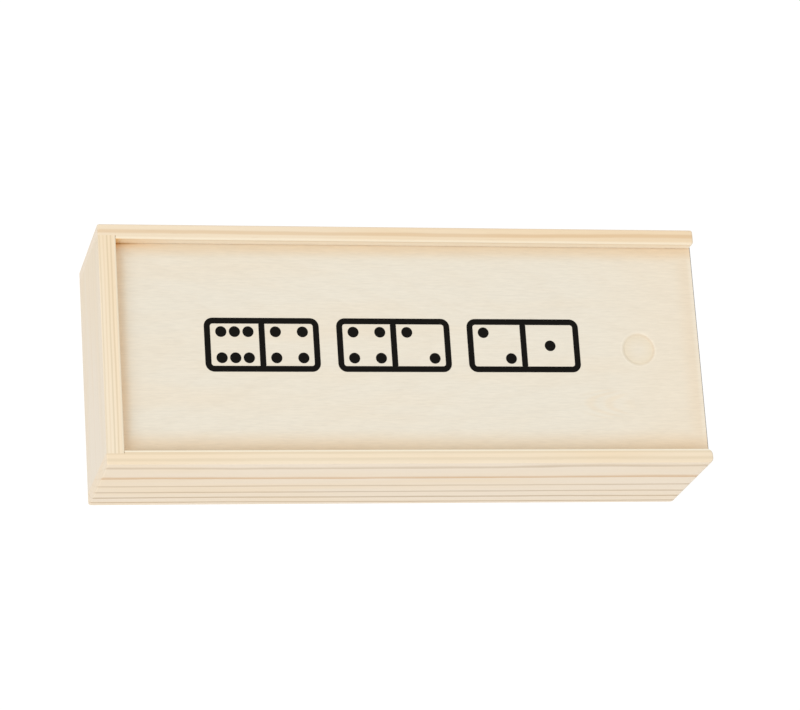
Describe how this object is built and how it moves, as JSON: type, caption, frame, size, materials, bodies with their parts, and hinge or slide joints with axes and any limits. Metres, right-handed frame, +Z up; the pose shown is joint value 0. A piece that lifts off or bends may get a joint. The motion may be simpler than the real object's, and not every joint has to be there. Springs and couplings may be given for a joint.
{
  "type": "boxed domino set",
  "caption": "Wooden domino set in its box: pine boards housed together, a plywood bottom, a plywood lid that slides out lengthwise, and wooden tiles with dimpled pips inside.",
  "frame": {"origin": "centre of the box's footprint, on the plane it rests on", "axes": "+X along the length towards the open end, where the lid slides out; +Y to the rear board; +Z up"},
  "size_m": [0.18, 0.073, 0.042],
  "materials": {
    "pine": "sanded and unvarnished, straight grain along each board",
    "lid_plywood": "sanded pale veneer, grain along the box",
    "bottom_plywood": "raw pale veneer",
    "tile_wood": "smooth sanded wood",
    "print_ink": "thin matt black print on the lid",
    "pip_paint": "matt black paint in the tiles' pips and divider grooves"
  },
  "bodies": {
    "box": {"front_side": "pine", "rear_side": "pine", "closed_end": "pine", "open_end": "pine", "bottom_panel": "bottom_plywood", "tile_0_0": "tile_wood", "tile_0_1": "tile_wood", "tile_0_2": "tile_wood", "tile_0_3": "tile_wood", "tile_0_4": "tile_wood", "tile_0_5": "tile_wood", "tile_0_6": "tile_wood", "tile_1_1": "tile_wood", "tile_1_2": "tile_wood", "tile_1_3": "tile_wood", "tile_1_4": "tile_wood", "tile_1_5": "tile_wood", "tile_1_6": "tile_wood", "tile_2_2": "tile_wood", "tile_2_3": "tile_wood", "tile_2_4": "tile_wood", "tile_2_5": "tile_wood", "tile_2_6": "tile_wood", "tile_3_3": "tile_wood", "tile_3_4": "tile_wood", "tile_3_5": "tile_wood", "tile_3_6": "tile_wood", "tile_4_4": "tile_wood", "tile_4_5": "tile_wood", "tile_4_6": "tile_wood", "tile_5_5": "tile_wood", "tile_5_6": "tile_wood", "tile_6_6": "tile_wood"},
    "lid": {"lid_panel": "lid_plywood"}
  },
  "joints": [
    {"name": "lid_slide", "type": "slide", "parent": "box", "child": "lid", "axis": [1, 0, 0], "range_m": [0, 0.176]}
  ]
}
